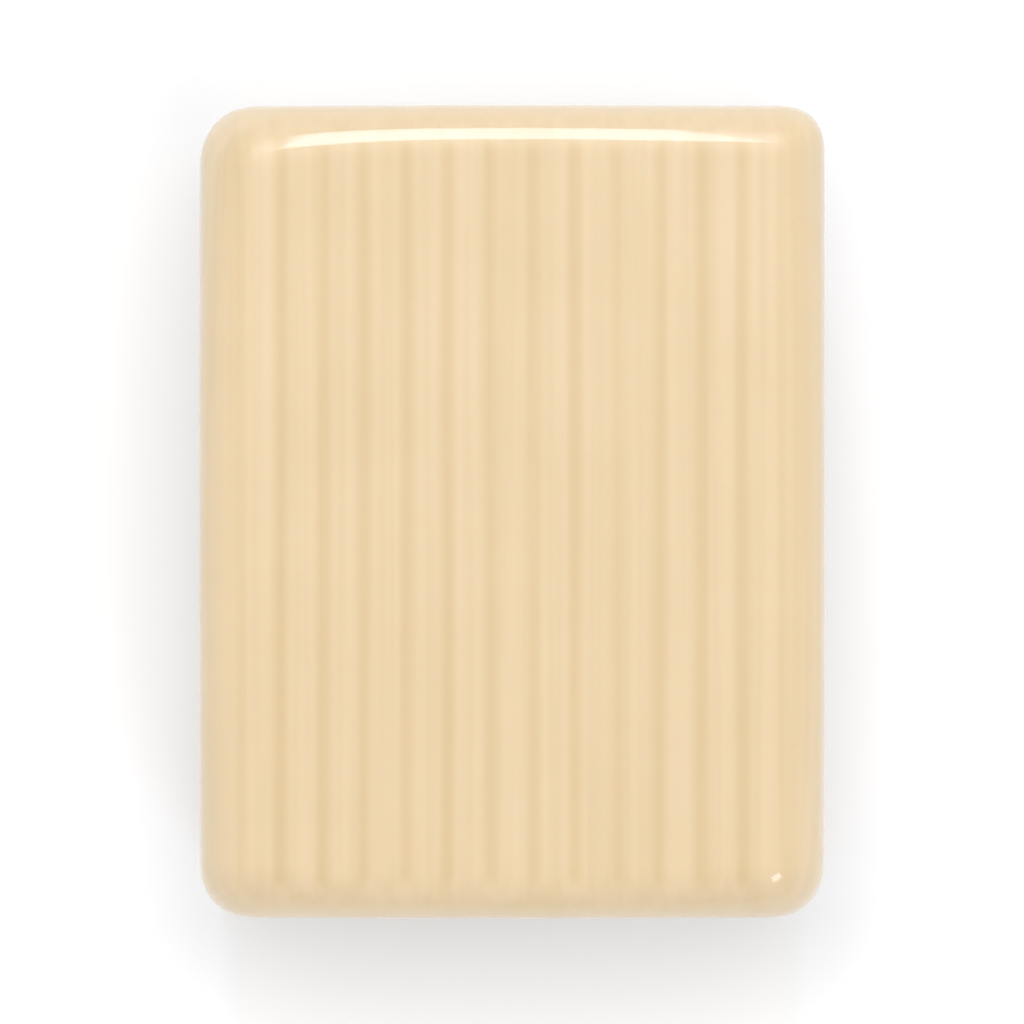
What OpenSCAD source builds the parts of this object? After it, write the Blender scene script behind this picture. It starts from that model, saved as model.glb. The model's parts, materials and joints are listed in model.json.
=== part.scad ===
// Mahjong tile, lying on its face with its back up.
// A face block carries a ribbed core on its inner side, and a translucent back shell is moulded over the
// core. The mark on the face is cut in and filled with enamel.
// The origin is at the middle of the face. X runs across the ribs, Y along them, and Z from face to back.

/* [Tile] */
// Width, across the ribs
tile_w = 20; // [17:0.5:24]
// Length, along the ribs
tile_l = 26; // [22:0.5:36]
// Thickness, from the face to the back
tile_t = 16; // [12:0.5:24]
// Radius that rounds every edge and corner
edge_r = 1.5; // [0.5:0.1:2.2]

/* [Back shell] */
// Thickness of the tile that the back shell takes up
shell_t = 6; // [4.5:0.25:9]
// Thickness of the shell's side walls around the core
shell_wall = 1.3; // [0.8:0.1:2.5]
// Thickness of the shell over the tops of the ribs
shell_cover = 1.2; // [0.6:0.1:2]

/* [Ribbed core] */
// Strips that the ribs and the two plain borders divide the width into
strip_count = 15; // [9:2:21]
// Width of the groove between two ribs
groove_w = 0.35; // [0.2:0.05:0.6]
// Depth of that groove
groove_d = 0.8; // [0.3:0.1:1.2]
// Radius of the core's upright corners
core_r = 0.5; // [0.2:0.1:1.2]
// Height of the locking groove round the foot of the core, which the shell grips
lock_h = 1; // [0.5:0.1:1.4]
// Depth of that locking groove
lock_d = 0.5; // [0.2:0.1:0.8]
// Height of the core's foot below the locking groove
lock_foot = 1.2; // [0.6:0.1:1.4]

/* [Engraved mark] */
// Plain border at either side of the mark
side_margin = 2.25; // [2:0.05:3]
// Plain border at either end of the mark
end_margin = 3.45; // [2.5:0.05:5]
// Space between two columns of rosettes, which with the side borders sets their size
column_gap = 0.7; // [0.3:0.05:1.5]
// Width of the cut for a rosette's ring
ring_w = 0.45; // [0.3:0.05:0.6]
// Petals in a rosette
petal_count = 8; // [5:1:10]
// Depth of the cuts
cut_d = 0.5; // [0.3:0.05:1]
// How far the enamel stays below the face
enamel_sink = 0.12; // [0.05:0.01:0.2]

/* [Hidden] */
$fn = 64;
// Overrun of every cut past the surface that it opens through
over = 0.5;
parting_z = tile_t - shell_t;
core_w = tile_w - 2 * shell_wall;
core_l = tile_l - 2 * shell_wall;
core_top = tile_t - shell_cover;
strip_pitch = tile_w / strip_count;
groove_count = strip_count - 1;

// The rosettes stand in three rows and three columns, as seen from above the back, and fill the space
// between the mark's borders.
rows = ["upper", "middle", "lower"];
columns = ["left", "centre", "right"];
row_paints = ["royalblue", "firebrick", "seagreen"];
ring_r = (tile_w - 2 * side_margin - 2 * column_gap) / (2 * len(columns));
column_pitch = 2 * ring_r + column_gap;
row_pitch = (tile_l - 2 * end_margin - 2 * ring_r) / (len(rows) - 1);

// Shares of the free radius inside a ring: the circle that the petals stand on, a petal and the eye
inside_r = ring_r - ring_w;
petal_circle_share = 0.63;
petal_share = 0.16;
eye_share = 0.24;
petal_circle_r = inside_r * petal_circle_share;
petal_r = inside_r * petal_share;
eye_r = inside_r * eye_share;

row_numbers = [0:len(rows) - 1];
column_numbers = [0:len(columns) - 1];
function rosette_name(row, column) = str(rows[row], "_", columns[column]);
function rosette_place(row, column) = [
    (column - (len(columns) - 1) / 2) * column_pitch,
    ((len(rows) - 1) / 2 - row) * row_pitch
];
function names_of(kind) =
    [for (row = row_numbers) for (column = column_numbers) str(rosette_name(row, column), "_", kind)];

// A block centred on the Z axis that stands on the floor, with every edge and corner rounded
module rounded_block(w, l, t, r) {
    translate([0, 0, t / 2]) {
        cube([w, l - 2 * r, t - 2 * r], center = true);
        cube([w - 2 * r, l, t - 2 * r], center = true);
        cube([w - 2 * r, l - 2 * r, t], center = true);
        for (y = [-1, 1]) for (z = [-1, 1])
            translate([0, y * (l / 2 - r), z * (t / 2 - r)])
                rotate([0, 90, 0]) cylinder(h = w - 2 * r, r = r, center = true);
        for (x = [-1, 1]) for (z = [-1, 1])
            translate([x * (w / 2 - r), 0, z * (t / 2 - r)])
                rotate([90, 0, 0]) cylinder(h = l - 2 * r, r = r, center = true);
        for (x = [-1, 1]) for (y = [-1, 1])
            translate([x * (w / 2 - r), y * (l / 2 - r), 0])
                cylinder(h = t - 2 * r, r = r, center = true);
        for (x = [-1, 1]) for (y = [-1, 1]) for (z = [-1, 1])
            translate([x * (w / 2 - r), y * (l / 2 - r), z * (t / 2 - r)]) sphere(r = r);
    }
}

// The whole tile's outer shape between two heights
module tile_slice(z_low, z_high) {
    intersection() {
        rounded_block(tile_w, tile_l, tile_t, edge_r);
        translate([0, 0, (z_low + z_high) / 2])
            cube([tile_w + 2 * over, tile_l + 2 * over, z_high - z_low], center = true);
    }
}

// An upright slab between two heights, with rounded corners in plan
module slab(w, l, r, z_low, z_high) {
    translate([0, 0, z_low]) linear_extrude(z_high - z_low) {
        square([w, l - 2 * r], center = true);
        square([w - 2 * r, l], center = true);
        for (x = [-1, 1]) for (y = [-1, 1])
            translate([x * (w / 2 - r), y * (l / 2 - r)]) circle(r = r);
    }
}

// The core that stands inside the shell: a foot, a waist that locks it in, and a head with the ribs.
// The grooves run out at both ends, and the outermost two take off the head's long edges.
module ribbed_core() {
    waist_z = parting_z + lock_foot;
    head_z = waist_z + lock_h;
    difference() {
        union() {
            slab(core_w, core_l, core_r, parting_z - over, waist_z);
            slab(core_w - 2 * lock_d, core_l - 2 * lock_d, core_r, waist_z, head_z);
            slab(core_w, core_l, core_r, head_z, core_top);
        }
        for (k = [0:groove_count - 1])
            translate([(k - (groove_count - 1) / 2) * strip_pitch, 0, core_top - groove_d / 2 + over / 2])
                cube([groove_w, core_l + 2 * over, groove_d + over], center = true);
    }
}

// The three shapes of a rosette, between two heights
module ring_shape(z_low, z_high) {
    translate([0, 0, z_low]) linear_extrude(z_high - z_low) difference() {
        circle(r = ring_r);
        circle(r = inside_r);
    }
}

module petals_shape(z_low, z_high) {
    for (k = [0:petal_count - 1])
        rotate(k * 360 / petal_count) translate([petal_circle_r, 0, z_low])
            cylinder(h = z_high - z_low, r = petal_r);
}

module eye_shape(z_low, z_high) {
    translate([0, 0, z_low]) cylinder(h = z_high - z_low, r = eye_r);
}

module at_rosette(row, column) {
    place = rosette_place(row, column);
    translate([place.x, place.y, 0]) children();
}

// The white half of the tile, with the mark's cuts in its face
module face_block() {
    color("ivory") difference() {
        union() {
            tile_slice(0, parting_z);
            ribbed_core();
        }
        for (row = row_numbers) for (column = column_numbers) at_rosette(row, column) {
            ring_shape(-over, cut_d);
            petals_shape(-over, cut_d);
            eye_shape(-over, cut_d);
        }
    }
}

// The translucent cream half of the tile, which fills the grooves and grips the core's waist
module back_shell() {
    color("wheat") difference() {
        tile_slice(parting_z, tile_t);
        ribbed_core();
    }
}

// The enamel in the cuts, one fill of each kind to a rosette
module ring_enamel(row, column) {
    color(row_paints[row]) at_rosette(row, column) ring_shape(enamel_sink, cut_d);
}

module petals_enamel(row, column) {
    color(row_paints[row]) at_rosette(row, column) petals_shape(enamel_sink, cut_d);
}

module eye_enamel(row, column) {
    color("firebrick") at_rosette(row, column) eye_shape(enamel_sink, cut_d);
}

face_block();
back_shell();
for (row = row_numbers) for (column = column_numbers) {
    name = rosette_name(row, column);
    ring_enamel(row, column);
    petals_enamel(row, column);
    eye_enamel(row, column);
}
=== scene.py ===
# %% [markdown]
# # A mahjong tile in moulded resin
# The real tile is two mouldings. An ivory-white face block has a ribbed core on its inner side, and a
# translucent cream shell is moulded over that core as the tile's back. The mark on the face is cut in
# and filled with enamel. The tile lies on its face, so the camera above sees the back: glossy, worn round
# at every edge, with the ribs showing softly through.
#
# Everything here is in metres, in the frame of the packed solids, so nothing has to be fitted afterwards.
# Only the finishes count in millimetres, because their patterns are that fine.

# %% Load the packed solids
import json
import math

import bmesh
import bpy
import numpy as np
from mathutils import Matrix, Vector
from mathutils.geometry import delaunay_2d_cdt


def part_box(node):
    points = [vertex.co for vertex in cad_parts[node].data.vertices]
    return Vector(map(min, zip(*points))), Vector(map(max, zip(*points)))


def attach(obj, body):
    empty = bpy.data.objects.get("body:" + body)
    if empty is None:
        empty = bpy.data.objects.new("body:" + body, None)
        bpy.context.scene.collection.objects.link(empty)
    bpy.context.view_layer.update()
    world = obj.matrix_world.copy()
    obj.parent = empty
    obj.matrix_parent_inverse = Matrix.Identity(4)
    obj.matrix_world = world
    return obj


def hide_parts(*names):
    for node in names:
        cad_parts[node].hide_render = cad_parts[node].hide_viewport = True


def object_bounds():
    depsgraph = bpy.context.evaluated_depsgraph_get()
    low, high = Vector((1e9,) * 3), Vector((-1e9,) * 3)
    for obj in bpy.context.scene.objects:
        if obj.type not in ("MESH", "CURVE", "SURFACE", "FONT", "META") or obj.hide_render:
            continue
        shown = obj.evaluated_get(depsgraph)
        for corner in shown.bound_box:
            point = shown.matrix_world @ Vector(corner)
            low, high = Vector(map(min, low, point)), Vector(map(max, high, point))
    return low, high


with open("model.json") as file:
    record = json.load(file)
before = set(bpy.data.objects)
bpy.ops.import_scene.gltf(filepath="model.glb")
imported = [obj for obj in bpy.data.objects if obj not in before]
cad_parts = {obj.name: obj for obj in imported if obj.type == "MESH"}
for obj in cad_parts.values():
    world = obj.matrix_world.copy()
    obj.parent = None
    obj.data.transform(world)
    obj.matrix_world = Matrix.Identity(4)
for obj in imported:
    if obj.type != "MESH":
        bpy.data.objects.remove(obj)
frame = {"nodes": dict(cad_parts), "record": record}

mm = 0.001
solid_low, solid_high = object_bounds()
print("nodes:", len(frame["nodes"]), " tile in mm:", [round(v / mm, 3) for v in solid_high - solid_low])

# %% [markdown]
# ## Sizes
# The solids say how big the tile is, where its two halves meet and how high the core reaches. A look that
# follows these sizes can't drift away from the construction, so they are read here and never typed again.
# The few that no box tells are named next to them: the shell's wall, the count of strips across the width,
# which gives the ribs' pitch, the grooves' depth, and the core's foot with the waist above it, which the
# shell grips.

# %% Read the sizes
half = np.array(solid_high - solid_low) / 2
middle = np.array(solid_high + solid_low) / 2
thickness = 2 * half[2]
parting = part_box("back_shell")[0].z
core_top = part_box("face_block")[1].z
shell_wall = 1.3 * mm
core_half = half[:2] - shell_wall
strip_count = 15
strip_pitch = 2 * half[0] / strip_count
groove_depth = 0.8 * mm
foot_height, waist_height = 1.2 * mm, 1.0 * mm
waist_low = parting + foot_height
waist_high = waist_low + waist_height
print("parting at", round(parting / mm, 2), "mm, core top at", round(core_top / mm, 2), "mm")
print("ribs every", round(strip_pitch / mm, 3), "mm")

# %% [markdown]
# ## The worn outside
# Tiles are tumbled until they shine, and tumbling wears a corner more than the middle of an edge, and no
# two corners alike. So the rounding grows towards each corner of the back by its own amount, which also
# bends the ends of the long highlight. A bevel modifier gives one even radius. Here a plain block's surface
# is a grid, and each of its points is pushed out from an inner box by a radius that depends on where the
# point would lie with an even rounding, which keeps the surface free of creases.
#
# Seen from above, a power a little over 2 keeps the outline's corners tight while their tops stay soft.

# %% Pull points onto a rounding
edge_radius = 1.5 * mm
outline_power = 2.75


def pulled_in(points, radius):
    """Pulls points of the plain block's surface, given from its middle, onto a rounding of that radius."""
    inner_box = half - radius[:, None]
    inner = np.clip(points, -inner_box, inner_box)
    out = points - inner
    across = np.sum(np.abs(out[:, :2]) ** outline_power, axis=1) ** (1 / outline_power)
    length = np.hypot(across, out[:, 2])
    return inner + out * (radius / length)[:, None]


even_corner = pulled_in((half * [-1, 1, 0])[None, :], np.array([edge_radius]))[0]
print("an even rounding pulls the outline's corner in by",
      round(math.dist(even_corner[:2], half[:2] * [-1, 1]) / mm, 3), "mm")

# %% [markdown]
# The wear takes four amounts, one for each corner of the back, and blends them across it. The face keeps
# one small amount for all its corners. The back is also crowned by a tenth of a millimetre, as resin that
# shrank while it set and was then tumbled is, so that the flat catches the light a little differently from
# one end to the other.

# %% Wear the corners
left_growth = {"lower": 0.9 * mm, "upper": 1.25 * mm}
right_growth = {"lower": 0.95 * mm, "upper": 0.15 * mm}
face_growth = 0.4 * mm
growth_power, lift_power = 2.5, 3
back_crown = 0.12 * mm


def rounded(points):
    """Moves points of the plain block's surface, given from its middle, onto the worn tile."""
    share = pulled_in(points, np.full(len(points), edge_radius)) / half
    rightward, upward, lift = ((share + 1) / 2).T
    left = left_growth["lower"] + (left_growth["upper"] - left_growth["lower"]) * upward
    right = right_growth["lower"] + (right_growth["upper"] - right_growth["lower"]) * upward
    back_growth = left + (right - left) * rightward
    growth = face_growth + (back_growth - face_growth) * lift ** lift_power
    worn = pulled_in(points, edge_radius + growth * np.abs(share[:, 0] * share[:, 1]) ** growth_power)
    worn[:, 2] += middle[2]
    above = np.clip((worn[:, 2] - parting) / (thickness - parting), 0, 1)
    bow = np.sum((worn[:, :2] / half[:2]) ** 2, axis=1) / 2
    worn[:, 2] -= back_crown * bow * above
    return worn


worn_corner = rounded((half * [-1, 1, 0])[None, :])[0]
print("the worn outline's corner is pulled in by",
      round(math.dist(worn_corner[:2], half[:2] * [-1, 1]) / mm, 3), "mm")

# %% [markdown]
# Grid lines run close together over the widest rounding and further apart on the flats, so the quads are
# small only where the surface turns.

# %% Lay out the grid lines
spare = 0.1 * mm
turn_width = edge_radius + left_growth["upper"] + spare
turn_steps = 18
flat_step = 0.8 * mm


def grid_lines(reach):
    """Places of grid lines from -reach to reach, close together near both ends."""
    flat_end = reach - turn_width
    flat = np.linspace(-flat_end, flat_end, 2 * round(flat_end / flat_step) + 1)
    turn = np.linspace(flat_end, reach, turn_steps + 1)[1:]
    return np.concatenate([-turn[::-1], flat, turn])


x_lines, y_lines, z_lines = (grid_lines(reach) for reach in half)
print("grid lines:", len(x_lines), len(y_lines), len(z_lines))

# %% [markdown]
# The two halves meet in a hairline that a fingernail only just feels. Each half's rim is pulled in by a few
# hundredths of a millimetre there, so light catches the line without a visible gap. The walls' grid lines
# give way to three of their own round the seam.

# %% Place the seam
seam_inset = 0.03 * mm
seam_height = 0.06 * mm
parting_line = parting - middle[2]
seam = [parting_line - seam_height, parting_line, parting_line + seam_height]
upper_levels = np.concatenate([seam[1:], z_lines[z_lines > seam[2] + seam_height]])
lower_levels = np.concatenate([z_lines[z_lines < seam[0] - seam_height], seam[:2]])
print("levels above the parting:", len(upper_levels), " below:", len(lower_levels))

# %% [markdown]
# Each half is a box without its inner side: four walls and an end, five flat sheets of quads. They are
# rounded one by one, and since their rims get the same points, welding joins them into one skin.

# %% Make sheets of quads
weld_reach = 1e-3 * mm


def sheet(first, second, axis, level):
    """Points and quads of one side of the block: two sets of grid lines, at a level on the third axis."""
    a, b = np.meshgrid(first, second, indexing="ij")
    points = np.insert(np.stack([a.ravel(), b.ravel()], axis=1), axis, level, axis=1)
    number = np.arange(a.size).reshape(a.shape)
    quads = np.stack([number[:-1, :-1], number[1:, :-1], number[1:, 1:], number[:-1, 1:]], axis=-1)
    return points, quads.reshape(-1, 4)


def add_faces(mesh, points, faces):
    """Adds faces to a bmesh, with the points that they use."""
    made = {i: mesh.verts.new(points[i]) for i in sorted({i for face in faces for i in face})}
    for face in faces:
        mesh.faces.new([made[i] for i in face])


def weld(mesh):
    bmesh.ops.remove_doubles(mesh, verts=mesh.verts, dist=weld_reach)


print("the back's sheet has", len(sheet(x_lines, y_lines, 2, half[2])[1]), "quads")

# %% [markdown]
# One function covers either half. The shell's end is closed. The face block's stays open over the flat of
# the face, where the engraving comes. The points on the parting line are pulled in for the seam.

# %% Cover one half
def skin(levels, end_level, flat_reach=None):
    """One half's outside as a bmesh. With flat_reach, the end stays open within that reach of its middle."""
    end_points, end_quads = sheet(x_lines, y_lines, 2, end_level)
    if flat_reach is not None:
        centres = np.abs(end_points[end_quads].mean(axis=1)[:, :2])
        end_quads = end_quads[(centres > flat_reach).any(axis=1)]
    sheets = [(end_points, end_quads)]
    for side in (-1, 1):
        sheets.append(sheet(y_lines, levels, 0, side * half[0]))
        sheets.append(sheet(x_lines, levels, 1, side * half[1]))
    mesh = bmesh.new()
    for points, quads in sheets:
        worn = rounded(points)
        worn[np.isclose(points[:, 2], parting_line), :2] *= 1 - seam_inset / half[:2]
        add_faces(mesh, worn, quads.tolist())
    weld(mesh)
    return mesh


shell_mesh = skin(upper_levels, half[2])
print("the shell's outside has", len(shell_mesh.faces), "faces")

# %% [markdown]
# ## The inside faces
# Inside, the shell grips the ribbed core face to face. That shape is exact in the solids already, so its
# faces are copied from them: the ones that lie within the core's outline, above the parting.

# %% Copy the inside of a node
hair = 0.01 * mm


def copy_inside(mesh, node_name):
    """Adds a node's faces that lie within the core's outline and no lower than the parting."""
    source = frame["nodes"][node_name].data
    places = np.array([v.co for v in source.vertices])
    inside = (np.abs(places[:, :2]) < core_half + hair).all(axis=1)
    inside &= (places[:, 2] > parting - hair) & (places[:, 2] < core_top + hair)
    faces = [list(p.vertices) for p in source.polygons if all(inside[i] for i in p.vertices)]
    add_faces(mesh, places, faces)
    weld(mesh)
    print(node_name, "lends", len(faces), "inside faces")


copy_inside(shell_mesh, "back_shell")

# %% [markdown]
# ## Flats with holes
# A flat with loops cut out of it, such as the face round the engraving, needs triangles that keep every
# loop's points. A constrained Delaunay triangulation makes them. It also fills the loops, so each triangle
# is kept only if a line from its middle crosses an odd number of loop edges, the usual inside test.

# %% Fill a flat between its loops
same_point = 1e-7


def fill_flat(mesh, height):
    """Fills the flat region that the bmesh's open loops at that height enclose."""
    def at_height(edge):
        return all(abs(v.co.z - height) < weld_reach for v in edge.verts)

    rims = [e for e in mesh.edges if e.is_boundary and at_height(e)]
    points = list(dict.fromkeys(v for e in rims for v in e.verts))
    number = {v: i for i, v in enumerate(points)}
    edges = [(number[e.verts[0]], number[e.verts[1]]) for e in rims]
    flat = [v.co.to_2d() / mm for v in points]
    corners, _, triangles, origin, _, _ = delaunay_2d_cdt(flat, edges, [], 0, same_point)
    ends = np.array([[flat[a], flat[b]] for a, b in edges])
    kept = 0
    for triangle in triangles:
        x, y = np.mean([corners[i] for i in triangle], axis=0)
        spans = (ends[:, 0, 1] > y) != (ends[:, 1, 1] > y)
        a, b = ends[spans, 0], ends[spans, 1]
        crossing = a[:, 0] + (y - a[:, 1]) / (b[:, 1] - a[:, 1]) * (b[:, 0] - a[:, 0])
        if np.count_nonzero(crossing > x) % 2:
            mesh.faces.new([points[origin[i][0]] for i in triangle])
            kept += 1
    print("filled a flat at", round(height / mm, 2), "mm with", kept, "triangles")


fill_flat(shell_mesh, parting)

# %% [markdown]
# A polished moulding shades smoothly everywhere but over its true edges, such as the core's. So a piece is
# smooth, and an edge where the surface turns by more than an angle is marked sharp. The count of open edges
# shows whether the piece is closed, as every real solid is.

# %% Turn a mesh into a piece
smooth_angle = math.radians(38)


def make_piece(mesh, name):
    """Ends a bmesh as an object whose shading is smooth, except over sharp edges."""
    bmesh.ops.recalc_face_normals(mesh, faces=mesh.faces)
    open_edges = sum(e.is_boundary or not e.is_manifold for e in mesh.edges)
    data = bpy.data.meshes.new(name)
    mesh.to_mesh(data)
    mesh.free()
    data.shade_smooth()
    data.set_sharp_from_angle(angle=smooth_angle)
    piece = bpy.data.objects.new(name, data)
    bpy.context.scene.collection.objects.link(piece)
    print(name, "has", len(data.polygons), "faces and", open_edges, "open edges")
    return piece


back_shell = make_piece(shell_mesh, "tile_back_shell")

# %% [markdown]
# ## The engraved face
# Each rosette of the mark is a ring, a circle of petals and an eye, all cut by round tools. Their places
# and sizes come from the solids of the enamel that fills them. Only the width of a ring's cut and the
# petals' number and share of the space inside the ring don't show in a box, and are named here.

# %% Read where the rosettes lie
ring_cut = 0.45 * mm
petal_count = 8
petal_share = 0.16
rows, columns = ("upper", "middle", "lower"), ("left", "centre", "right")
rosettes = [f"{row}_{column}" for row in rows for column in columns]


def centre_and_reach(node_name):
    low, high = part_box(node_name)
    return np.array((low + high) / 2)[:2], (high.x - low.x) / 2


enamel_sink, cut_depth = (corner.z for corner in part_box("middle_centre_ring"))
ring_reach = centre_and_reach("middle_centre_ring")[1]
petal_radius = (ring_reach - ring_cut) * petal_share
petal_circle = centre_and_reach("middle_centre_petals")[1] - petal_radius
eye_radius = centre_and_reach("middle_centre_eye")[1]
for part, radius in (("ring", ring_reach), ("petal", petal_radius), ("eye", eye_radius)):
    print(part, "has a radius of", round(radius / mm, 3), "mm")

# %% [markdown]
# A boolean would leave sharp, ragged rims. A cut's wall is a profile turned about its axis instead, as on a
# lathe. A ring's profile comes back to the face, and a pit's ends in a floor, which one face closes.

# %% Turn profiles about an axis
ring_steps, petal_steps, eye_steps = 80, 24, 40


def turned(profile, centre, steps):
    """Points and faces of a profile of (radius, height) pairs, turned about an upright axis at centre."""
    profile = np.array(profile)
    angles = np.arange(steps) * 2 * math.pi / steps
    round_trip = np.stack([np.cos(angles), np.sin(angles)], axis=1)
    flat = centre + profile[:, None, :1] * round_trip
    heights = np.broadcast_to(profile[:, None, 1:], flat.shape[:2] + (1,))
    points = np.concatenate([flat, heights], axis=2).reshape(-1, 3)
    faces = []
    for i in range(len(profile) - 1):
        for k in range(steps):
            j = (k + 1) % steps
            faces.append([i * steps + k, (i + 1) * steps + k, (i + 1) * steps + j, i * steps + j])
    return points, faces


def capped(profile, centre, steps):
    """A turned profile whose last ring is closed by one face."""
    points, faces = turned(profile, centre, steps)
    faces.append(list(range(len(points) - steps, len(points))))
    return points, faces


def petal_centres(centre):
    for k in range(petal_count):
        angle = k * 2 * math.pi / petal_count
        yield centre + petal_circle * np.array([math.cos(angle), math.sin(angle)])


print("petals' centres round a rosette:", len(list(petal_centres(np.zeros(2)))))

# %% [markdown]
# The profile of a cut begins with a narrow flat collar, which keeps the shading of the face clean, and a
# small rounded rim, as polishing leaves it. Then come the wall and the floor.

# %% Draw the profile of a cut
rim_radius = 0.05 * mm
rim_steps = 4
collar = 0.05 * mm


def cut_rim(radius, side):
    """The profile from the face down one wall of a cut. side is 1 where the face lies outside radius."""
    profile = [(radius + side * (rim_radius + collar), 0)]
    for turn in np.linspace(0, math.pi / 2, rim_steps + 1):
        away = rim_radius * (1 - math.sin(turn))
        profile.append((radius + side * away, rim_radius * (1 - math.cos(turn))))
    return profile + [(radius, cut_depth)]


print("an eye's cut in mm:", [(round(r / mm, 3), round(z / mm, 3)) for r, z in cut_rim(eye_radius, 1)])

# %% [markdown]
# The face block is built as the shell was: its outside, open over the flat of the face, then the core's
# faces from the solid, then the cuts. The two flats, at the parting and on the face, are filled round them.

# %% Build the face block
face_flat_reach = half[:2] - edge_radius - face_growth - spare
face_mesh = skin(lower_levels, -half[2], face_flat_reach)
copy_inside(face_mesh, "face_block")
fill_flat(face_mesh, parting)
for rosette in rosettes:
    centre, _ = centre_and_reach(rosette + "_ring")
    ring_profile = cut_rim(ring_reach, 1) + cut_rim(ring_reach - ring_cut, -1)[::-1]
    add_faces(face_mesh, *turned(ring_profile, centre, ring_steps))
    add_faces(face_mesh, *capped(cut_rim(eye_radius, 1), centre, eye_steps))
    for petal_centre in petal_centres(centre):
        add_faces(face_mesh, *capped(cut_rim(petal_radius, 1), petal_centre, petal_steps))
fill_flat(face_mesh, 0)
face_block = make_piece(face_mesh, "tile_face_block")

# %% [markdown]
# ## Enamel
# The painter floods a cut and wipes the face clean. As it dries, the enamel shrinks and clings to the walls,
# so its surface is a shallow dish. Each fill is its own small closed solid, turned from a profile whose top
# is a curve: high at the walls and lowest in the middle. It stands a hair off the walls, so that the two
# surfaces there can't show through each other.

# %% Draw the fills
enamel_cling = 0.07 * mm
enamel_gap = 0.002 * mm
dish_depth = 1.1 * enamel_sink
dish_steps = 8


def dish(from_radius, to_radius, low_at):
    """Points across an enamel surface. low_at is the share of the way across where it is deepest."""
    profile = []
    for share in np.linspace(0, 1, dish_steps + 1):
        off = (share - low_at) / max(low_at, 1 - low_at)
        depth = dish_depth - (dish_depth - enamel_cling) * off ** 2
        profile.append((from_radius + (to_radius - from_radius) * share, depth))
    return profile


def ring_fill(centre):
    inner, outer = ring_reach - ring_cut + enamel_gap, ring_reach - enamel_gap
    profile = dish(inner, outer, low_at=0.5)
    profile += [(outer, cut_depth), (inner, cut_depth), profile[0]]
    return turned(profile, centre, ring_steps)


def pit_fill(centre, radius, steps):
    wall = radius - enamel_gap
    profile = [(wall, cut_depth)] + dish(wall, 0, low_at=1)[:-1]
    points, faces = capped(profile, centre, steps)
    faces.append(list(range(steps)))
    return points, faces


print("enamel lies", round(enamel_cling / mm, 3), "mm deep at a wall,", round(dish_depth / mm, 3), "at most")

# %% [markdown]
# The painter fills the ring, the petals and the eye of a rosette one after another, each with its own
# colour. So these are three pieces, and the petals of one rosette are one piece together.

# %% Fill every cut
enamel_pieces = {}
for rosette in rosettes:
    centre, _ = centre_and_reach(rosette + "_ring")
    fills = {
        "ring": [ring_fill(centre)],
        "petals": [pit_fill(place, petal_radius, petal_steps) for place in petal_centres(centre)],
        "eye": [pit_fill(centre, eye_radius, eye_steps)],
    }
    for kind, parts in fills.items():
        enamel_mesh = bmesh.new()
        for points, faces in parts:
            add_faces(enamel_mesh, points, faces)
        weld(enamel_mesh)
        node_name = f"{rosette}_{kind}"
        enamel_pieces[node_name] = make_piece(enamel_mesh, "enamel_" + node_name)

# %% [markdown]
# ## Making nodes
# The rest is material, and a material is a tree of nodes. Laid out one by one, even a plain tree takes
# pages. These helpers each make one node and return its output, and they take numbers and other nodes'
# outputs alike, so that a finish reads as a short sum.

# %% Nodes in short calls
class Nodes:
    """A node tree whose nodes are made by short calls."""

    def __init__(self, tree):
        self.tree = tree

    def feed(self, socket, value):
        """Links value to the socket if it is another node's output, and else sets it, unless it is None."""
        if isinstance(value, bpy.types.NodeSocket):
            self.tree.links.new(value, socket)
        elif value is not None:
            socket.default_value = value

    def node(self, kind, *values, **settings):
        """Makes a node with its settings, and feeds its first sockets with the values."""
        made = self.tree.nodes.new("ShaderNode" + kind)
        for name, value in settings.items():
            setattr(made, name, value)
        for socket, value in zip(made.inputs, values):
            self.feed(socket, value)
        return made

    def calc(self, operation, *values):
        return self.node("Math", *values, operation=operation).outputs[0]

    def move(self, operation, *values):
        """Vector maths whose result is a vector."""
        return self.node("VectorMath", *values, operation=operation).outputs["Vector"]

    def measure(self, operation, *values):
        """Vector maths whose result is a number."""
        return self.node("VectorMath", *values, operation=operation).outputs["Value"]

    def split(self, vector):
        return self.node("SeparateXYZ", vector).outputs

    def smooth(self, value, low, high, to_low=0.0, to_high=1.0, kind="SMOOTHSTEP"):
        """Takes value from low..high to to_low..to_high, with soft ends unless kind is LINEAR."""
        made = self.node("MapRange", value, low, high, to_low, to_high, interpolation_type=kind)
        return made.outputs["Result"]

    def mix(self, share, first, second, blend="MIX"):
        """Mixes two colours. The node also has sockets for numbers and vectors, which stay unused."""
        made = self.node("Mix", data_type="RGBA", blend_type=blend)
        for socket, value in zip([s for s in made.inputs if s.enabled], (share, first, second)):
            self.feed(socket, value)
        return next(s for s in made.outputs if s.enabled)

    def noise(self, place, size, detail=2.0):
        """Noise whose blotches are about size across, in millimetres, from 0 to 1."""
        made = self.node("TexNoise", place)
        self.feed(made.inputs["Scale"], 1 / size)
        self.feed(made.inputs["Detail"], detail)
        return made.outputs["Fac"]


print("kinds of call:", [name for name in vars(Nodes) if not name.startswith("_")])

# %% [markdown]
# The tile's finishes share more than single nodes. Each is built on one Principled shader, finds its place
# on the tile in millimetres, and wanders a little, in patches. Both resins carry the marks of the tumbler:
# slow waves that bend the reflections, and under the gloss a peel too fine to see but for its softness.

# %% What the finishes share
wave_size, peel_size = 3.2, 0.35
peel_depth = 0.0006 * mm


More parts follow.
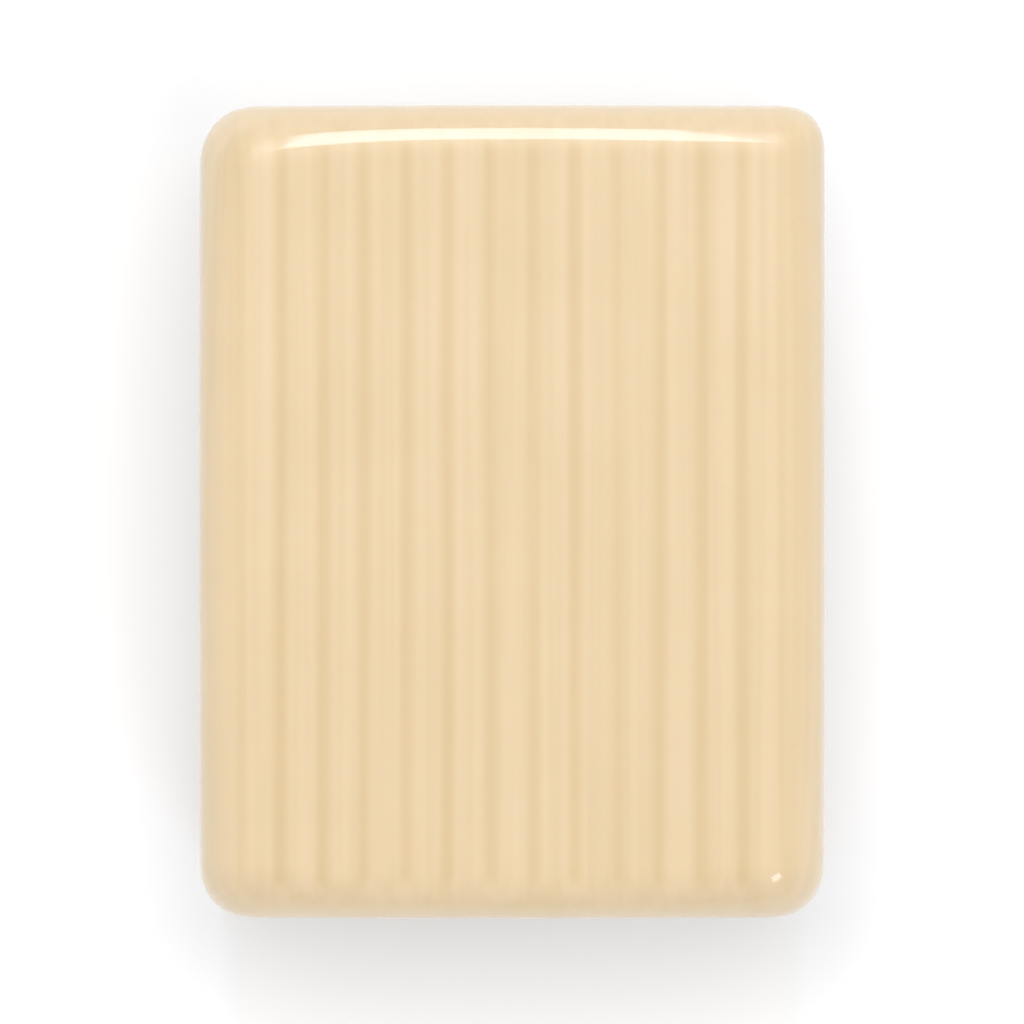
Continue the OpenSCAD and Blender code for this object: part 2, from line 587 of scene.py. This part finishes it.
class Finish(Nodes):
    """A material with a Principled shader, and the steps that the tile's finishes share."""

    def __init__(self, name):
        self.material = bpy.data.materials.new(name)
        self.material.use_nodes = True
        super().__init__(self.material.node_tree)
        self.shader = self.tree.nodes["Principled BSDF"]

    def set(self, **values):
        """Sets the shader's sockets, named with _ for a space."""
        for name, value in values.items():
            self.feed(self.shader.inputs[name.replace("_", " ")], value)

    def place(self):
        """Where on the tile a point is, in millimetres."""
        return self.move("MULTIPLY", self.node("TexCoord").outputs["Object"], (1 / mm,) * 3)

    def patches(self, place, size, low, high, detail=2.0, spread=(0.3, 0.7)):
        """A value that wanders from low to high in patches of a size, as the noise crosses its spread."""
        return self.smooth(self.noise(place, size, detail), *spread, low, high)

    def bump(self, height, depth, normal=None):
        """Raises the surface by height, 0 to 1, times depth, on top of another bump's normal."""
        made = self.node("Bump")
        for name, value in {"Strength": 1.0, "Distance": depth, "Height": height, "Normal": normal}.items():
            self.feed(made.inputs[name], value)
        return made.outputs["Normal"]

    def tumble(self, place, wave_depth, peel_detail):
        """Gives the surface its waves, and the resin under the gloss its peel."""
        wave = self.bump(self.noise(place, wave_size, detail=1.0), wave_depth)
        peel = self.bump(self.noise(place, peel_size, peel_detail), peel_depth, wave)
        self.set(Normal=peel, Coat_Normal=wave)


print("waves every", wave_size, "mm, a peel every", peel_size, "mm")

# %% [markdown]
# A shader takes linear values of red, green and blue, but a colour that is read off a screen follows the
# screen's curve, which spends more of its steps on the dark tones. The curve is undone here.

# %% Take colours from the screen
def from_screen(red, green, blue):
    """A colour as it shows on screen, 0 to 255, as the linear values that a shader takes."""
    shares = [v / 255 for v in (red, green, blue)]
    linear = [s / 12.92 if s <= 0.04045 else ((s + 0.055) / 1.055) ** 2.4 for s in shares]
    return (*linear, 1.0)


print("mid grey in linear values:", [round(v, 3) for v in from_screen(188, 188, 188)])

# %% [markdown]
# ## Looking into the cream resin
# The shell is cloudy resin a little over a millimetre thick, and what shows is the core below it. Real
# glass over a real core would render slowly and noisily, and would not survive the export. So each surface
# point takes its colour from the spot of the core that is seen through it. On the flat back that spot lies
# straight below. On a rounded edge the resin bends the view inwards by a third of the tilt, as a lens does.
# On a wall it lies straight in, a little past the core's side, so that the waist there is seen as well.

# %% Find the spot that is seen
bend_share = 1 / 3
past_core_side = 0.3
wall_view = shell_wall / mm + past_core_side
cover = (thickness - core_top) / mm


def seen_through(finish, place):
    """The spot of the core that is seen through each surface point, in mm."""
    normal = finish.node("NewGeometry").outputs["Normal"]
    upright = finish.calc("MAXIMUM", finish.split(normal)[2], 0.0)
    inward = finish.smooth(upright, 0.0, 1.0, wall_view, cover * bend_share, "LINEAR")
    squared = finish.calc("MULTIPLY", upright, upright)
    downward = finish.calc("MULTIPLY", squared, cover * (1 - bend_share))
    along_normal = finish.move("SCALE", normal, None, None, inward)
    straight_down = finish.node("CombineXYZ", 0.0, 0.0, downward).outputs[0]
    depth = finish.move("ADD", along_normal, straight_down)
    return finish.split(finish.move("SUBTRACT", place, depth))


print("the flat back is seen", round(cover, 2), "mm deep, a wall", round(wall_view, 2), "mm")

# %% [markdown]
# Over a rib the core looks pale, and a shade darker over the resin-filled groove between two ribs. The
# outermost groove on either side takes off the core's long edge, so only its inner side shows. Further
# down, the waist that locks the core holds more resin too, and shows on the walls as a faint band. Resin
# blurs all that shows through it, so each of these has a soft limit.

# %% Draw the grooves and the waist
groove_half_width, groove_blur = 0.19, 0.19
outer_fade_start, outer_fade_end = 0.35, 0.05
outer_groove_share = 0.1
end_blur_outside, end_blur_inside = 0.15, 0.25
floor_blur, waist_blur = 0.15, 0.35


def rib_pattern(finish, place):
    """How far a spot lies over a groove and over the waist, each 0 to 1. Lengths here are in mm."""
    x, y, z = seen_through(finish, place)[:3]
    pitch = strip_pitch / mm
    side, end = core_half / mm
    strip = finish.calc("FRACT", finish.calc("DIVIDE", x, pitch))
    off_groove = finish.calc("ABSOLUTE", finish.calc("SUBTRACT", strip, 0.5))
    distance = finish.calc("MULTIPLY", off_groove, pitch)
    line = finish.smooth(distance, groove_half_width + groove_blur, groove_half_width - groove_blur)
    fade_start, fade_end = side - outer_fade_start, side - outer_fade_end
    strength = finish.smooth(finish.calc("ABSOLUTE", x), fade_start, fade_end, 1.0, outer_groove_share)
    line = finish.calc("MULTIPLY", line, strength)
    along = finish.smooth(finish.calc("ABSOLUTE", y), end + end_blur_outside, end - end_blur_inside)
    groove_floor = (core_top - groove_depth) / mm
    above_floor = finish.smooth(z, groove_floor - floor_blur, groove_floor + floor_blur)
    over_groove = finish.calc("MULTIPLY", line, finish.calc("MULTIPLY", along, above_floor))
    waist_middle = (waist_high + waist_low) / 2 / mm
    waist_reach = (waist_high - waist_low) / 2 / mm
    off_waist = finish.calc("ABSOLUTE", finish.calc("SUBTRACT", z, waist_middle))
    over_waist = finish.smooth(off_waist, waist_reach + waist_blur, waist_reach - waist_blur)
    return over_groove, over_waist


print("grooves look", round(2 * (groove_half_width + groove_blur), 2), "mm wide with their blur")

# %% [markdown]
# ## Cream resin
# The pattern is coloured and then made uneven, as moulded resin is: slow clouds, fine streaks that run with
# the ribs and hardly show on the end walls, and lines of slightly different strength. Thicker resin looks
# darker, and in blue most of all, which is why cream turns to honey. Rounded edges and walls also get a
# painted shade: their colour is made a little darker the further they tilt from the back, standing in for
# the light that enters a rounded edge and leaks down the wall. Light that scatters in the resin softens
# everything further, and a clear coat gives the polish.

# %% Make the cream resin
cream_over_rib = from_screen(242, 218, 175)
cream_over_groove = from_screen(236, 209, 160)
cream_over_waist = from_screen(236, 209, 165)
honey_powers = (1.0, 1.2, 2.2)
streak_stretch = (1.0, 0.015, 1.0)
streak_along, streak_end_on = (0.972, 1.020), (0.997, 1.002)
tilt_start = 0.5
# painted shade: how far a wall's colour is darkened, with the rounded edges in between
painted_edge_shade = 0.93


def thickened(finish, colour, shade):
    """Darkens a colour by shade, a little above or below 1, and blue most, as thicker resin does."""
    tints = [finish.calc("POWER", shade, power) for power in honey_powers]
    return finish.mix(1.0, colour, finish.node("CombineColor", *tints).outputs[0], "MULTIPLY")


def cream_resin():
    finish = Finish("cream_resin")
    place = finish.place()
    over_groove, over_waist = rib_pattern(finish, place)
    facing = finish.split(finish.node("NewGeometry").outputs["Normal"])
    end_on = finish.calc("ABSOLUTE", facing[1])
    darkest, brightest = (finish.smooth(end_on, tilt_start, 1.0, *pair)
                          for pair in zip(streak_along, streak_end_on))
    stretched = finish.move("MULTIPLY", place, streak_stretch)
    cloud = finish.patches(place, size=3.5, low=0.988, high=1.006)
    streak = finish.patches(stretched, size=0.5, low=darkest, high=brightest)
    uneven = finish.patches(stretched, size=1.1, low=0.85, high=1.05, detail=1.0)
    base = finish.mix(over_waist, cream_over_rib, cream_over_waist)
    base = finish.mix(finish.calc("MULTIPLY", over_groove, uneven), base, cream_over_groove)
    base = thickened(finish, base, finish.calc("MULTIPLY", cloud, streak))
    # painted shade: the colour darkens as the surface tilts away from the back, standing in for light that
    # leaks down the walls
    shade = finish.smooth(facing[2], tilt_start, 1.0, painted_edge_shade, 1.0, "LINEAR")
    base = finish.mix(1.0, base, shade, "MULTIPLY")
    smudge = finish.patches(place, size=2.4, low=0.30, high=0.40, detail=3.0, spread=(0.35, 0.75))
    finish.set(Base_Color=base, Roughness=smudge)
    finish.tumble(place, wave_depth=0.012 * mm, peel_detail=1.0)
    finish.set(Subsurface_Weight=0.7, Subsurface_Radius=(1.0, 0.7, 0.45), Subsurface_Scale=0.3 * mm)
    finish.set(IOR=1.5, Coat_Weight=1.0, Coat_Roughness=0.045, Coat_IOR=1.65)
    return finish.material


back_material = cream_resin()
print("cream resin has", len(back_material.node_tree.nodes), "nodes")

# %% [markdown]
# ## Ivory resin
# The face block is the same kind of resin with white pigment, nearly opaque: less scattering, a touch of
# warmth, very faint clouds, and the same polish.

# %% Make the ivory resin
def ivory_resin():
    finish = Finish("ivory_resin")
    place = finish.place()
    cloud = finish.patches(place, size=5.0, low=0.0, high=1.0, detail=3.0)
    base = finish.mix(cloud, from_screen(239, 231, 213), from_screen(243, 236, 221))
    smudge = finish.patches(place, size=2.4, low=0.28, high=0.38, detail=4.0, spread=(0.35, 0.75))
    finish.set(Base_Color=base, Roughness=smudge)
    finish.tumble(place, wave_depth=0.010 * mm, peel_detail=2.0)
    finish.set(Subsurface_Weight=0.4, Subsurface_Radius=(1.0, 0.8, 0.6), Subsurface_Scale=0.2 * mm)
    finish.set(IOR=1.5, Coat_Weight=1.0, Coat_Roughness=0.06, Coat_IOR=1.6)
    return finish.material


face_material = ivory_resin()
print("ivory resin has", len(face_material.node_tree.nodes), "nodes")

# %% [markdown]
# ## Enamel paint
# Three traditional colours. The paint is dense and glossy, in places a little thinner, so that its colour
# varies from deep to bright, and dried with small dimples.

# %% Make the enamels
def enamel(name, deep, thin):
    finish = Finish(name)
    place = finish.place()
    patch = finish.patches(place, size=0.5, low=0.0, high=1.0, detail=3.0, spread=(0.3, 0.75))
    dimple = finish.bump(finish.noise(place, size=0.15, detail=1.0), depth=0.002 * mm)
    finish.set(Base_Color=finish.mix(patch, deep, thin), Normal=dimple)
    finish.set(Roughness=finish.patches(place, size=0.3, low=0.16, high=0.3))
    finish.set(IOR=1.5, Coat_Weight=0.5, Coat_Roughness=0.08)
    return finish.material


enamels = {
    "enamel_blue": enamel("enamel_blue", from_screen(22, 52, 122), from_screen(34, 70, 146)),
    "enamel_red": enamel("enamel_red", from_screen(160, 22, 22), from_screen(184, 36, 30)),
    "enamel_green": enamel("enamel_green", from_screen(12, 92, 56), from_screen(24, 112, 70)),
}
print("enamels:", list(enamels))

# %% [markdown]
# ## Dress the pieces
# Every piece takes its finish, stands in for its node of the packed solids and rides on the tile's one
# rigid body. An enamel piece's finish is the one that its node's material slot names.

# %% Dress the pieces and let them ride
slot_of = {part["node"]: part["material_slot"] for part in frame["record"]["subparts"]}


def dress(piece, node_name, material):
    piece.data.materials.append(material)
    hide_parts(node_name)
    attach(piece, "root")


dress(back_shell, "back_shell", back_material)
dress(face_block, "face_block", face_material)
for node_name, piece in enamel_pieces.items():
    dress(piece, node_name, enamels[slot_of[node_name]])
print("dressed", 2 + len(enamel_pieces), "pieces")

# %% [markdown]
# ## Floor
# The tile lies on a white table that the photograph shows overexposed: pure white, with only a soft shadow
# close to the tile. Stronger lamps would bleach the tile too. Instead, only the camera's own rays find the
# floor brighter. Rays that arrive by way of gloss or glass find plain white, and the light that the floor
# sheds stays that of white paper. The boost is smallest at the tile's outline and grows with the distance
# from it. So the floor is painted darker close to the tile: a painted shadow added to the real one, which
# makes the shadow fade out as it does in the photograph.

# %% Colour the floor
paper_white = 0.88
# painted shadow: the floor's camera-seen level is lower at the tile's outline and rises over a few
# millimetres
seen_near_painted_shadow, seen_far = 1.045, 1.28
painted_shadow_fade_out = 8.0


def white_table():
    finish = Finish("white_table")
    rays = finish.node("LightPath").outputs
    mirrored = finish.calc("MAXIMUM", rays["Is Glossy Ray"], rays["Is Transmission Ray"])
    off_outline = finish.move("SUBTRACT", finish.move("ABSOLUTE", finish.place()), (*half[:2] / mm, 0))
    off_outline = finish.move("MAXIMUM", off_outline, (0, 0, 0))
    # painted shadow: this makes the floor darker close to the tile's outline
    seen = finish.smooth(finish.measure("LENGTH", off_outline), 0.0, painted_shadow_fade_out, seen_near_painted_shadow, seen_far)
    paper = finish.mix(mirrored, (paper_white,) * 3 + (1,), (1, 1, 1, 1))
    finish.set(Base_Color=finish.mix(rays["Is Camera Ray"], paper, seen))
    finish.set(Roughness=1.0, Specular_IOR_Level=0.0)
    return finish.material


table_material = white_table()
print("the table has", len(table_material.node_tree.nodes), "nodes")

# %% [markdown]
# The floor itself is one wide square at the height of the tile's face. It is stage and no part of the tile.

# %% Lay the floor
floor_size = 1.2
floor_mesh = bpy.data.meshes.new("floor")
corners = [(x * floor_size / 2, y * floor_size / 2, 0) for x, y in ((-1, -1), (1, -1), (1, 1), (-1, 1))]
floor_mesh.from_pydata(corners, [], [(0, 1, 2, 3)])
floor_mesh.materials.append(table_material)
floor = bpy.data.objects.new("floor", floor_mesh)
bpy.context.scene.collection.objects.link(floor)
print("floor is", floor_size, "m wide")

# %% [markdown]
# ## Lamps
# Two lamps of cool daylight draw the sharp highlights. The photograph has a long one along the tile's upper
# edge and a spark at the lower right corner. A gloss mirrors a lamp where its surface is tilted halfway
# between the lamp and the camera, so a lamp's place decides where its highlight lies, and its size how long
# and wide that is. An area lamp's energy is worked out from its size and one brightness, so that a lamp of
# another size stays as bright to look at.

# %% Light the tile
daylight = (0.89, 0.92, 1.12)
lamp_distance = 0.6


def toward(azimuth, from_vertical):
    """A direction, from degrees clockwise from the top of the picture, and degrees from straight up."""
    a, t = math.radians(azimuth), math.radians(from_vertical)
    return (math.sin(a) * math.sin(t), math.cos(a) * math.sin(t), math.cos(t))


def softbox(name, direction, size, strength):
    """A rectangular lamp of one radiance, in a direction from the tile's back, facing it."""
    lamp = bpy.data.lights.new(name, "AREA")
    lamp.color = daylight
    lamp.shape = "RECTANGLE"
    lamp.size, lamp.size_y = size
    lamp.energy = strength * math.pi * size[0] * size[1]
    thing = bpy.data.objects.new(name, lamp)
    bpy.context.scene.collection.objects.link(thing)
    away = Vector(direction).normalized()
    thing.location = Vector((0, 0, thickness)) + away * lamp_distance
    thing.rotation_mode = "QUATERNION"
    thing.rotation_quaternion = away.to_track_quat("Z", "Y")
    print(name, "shines with", round(lamp.energy, 3), "W from", [round(v, 3) for v in thing.location])


softbox("north_strip", toward(azimuth=-2.5, from_vertical=45), size=(0.115, 0.30), strength=3.95)
softbox("south_east_spark", toward(azimuth=148, from_vertical=46), size=(0.2, 0.14), strength=3.2)

# %% [markdown]
# ## Tent
# All the rest comes from a white tent, which is the world. It is a little brighter to the north than to the
# south, and a soft glow near the top of it is mirrored in the flat back, which it shades from top to bottom.
# The camera sees the tent as plain white.

# %% Surround it with a white tent
tent_level = 0.86
tent_slope = (0.02, 0.10, -0.13)
glow_toward = toward(azimuth=0, from_vertical=26)
glow_reach = math.cos(math.radians(32))
glow_level = 0.75
world = bpy.data.worlds.new("tent")
bpy.context.scene.world = world
world.use_nodes = True
tent = Nodes(world.node_tree)
direction = tent.node("TexCoord").outputs["Generated"]
level = tent.calc("ADD", tent.measure("DOT_PRODUCT", direction, tent_slope), tent_level)
glow = tent.smooth(tent.measure("DOT_PRODUCT", direction, glow_toward), glow_reach, 1.0, 0.0, glow_level)
level = tent.calc("ADD", level, glow)
to_camera = tent.node("LightPath").outputs["Is Camera Ray"]
level = tent.calc("MULTIPLY_ADD", to_camera, tent.calc("SUBTRACT", 1.0, level), level)
background = tent.tree.nodes["Background"]
tent.feed(background.inputs["Color"], (1, 1, 1, 1))
tent.feed(background.inputs["Strength"], level)
print("tent's level towards the north:", tent_level + tent_slope[1], " south:", tent_level - tent_slope[1])

# %% [markdown]
# ## Camera
# The photograph looks straight down, the tile's long side upright. A long lens keeps the walls hidden
# behind the back's edge, as they are in the photograph. The tile's length takes up four fifths of the frame,
# and the camera's height follows from that.

# %% Set the camera
lens, sensor = 250.0, 36.0
frame_share = 0.80
camera_data = bpy.data.cameras.new("camera")
camera_data.lens, camera_data.sensor_width = lens, sensor
camera_data.sensor_fit = "HORIZONTAL"
camera_data.clip_start, camera_data.clip_end = 0.01, 10
camera = bpy.data.objects.new("camera", camera_data)
bpy.context.scene.collection.objects.link(camera)
view_width = 2 * half[1] / frame_share
camera.location = (0, 0, thickness + view_width * lens / sensor)
bpy.context.scene.camera = camera
bpy.context.scene.view_settings.view_transform = "Standard"
print("camera", round(camera.location.z, 3), "m above the table")

# %% [markdown]
# ## Sizes at the end
# The look must not outgrow the construction. The box of the solids is kept from the start, in solid_low and
# solid_high.
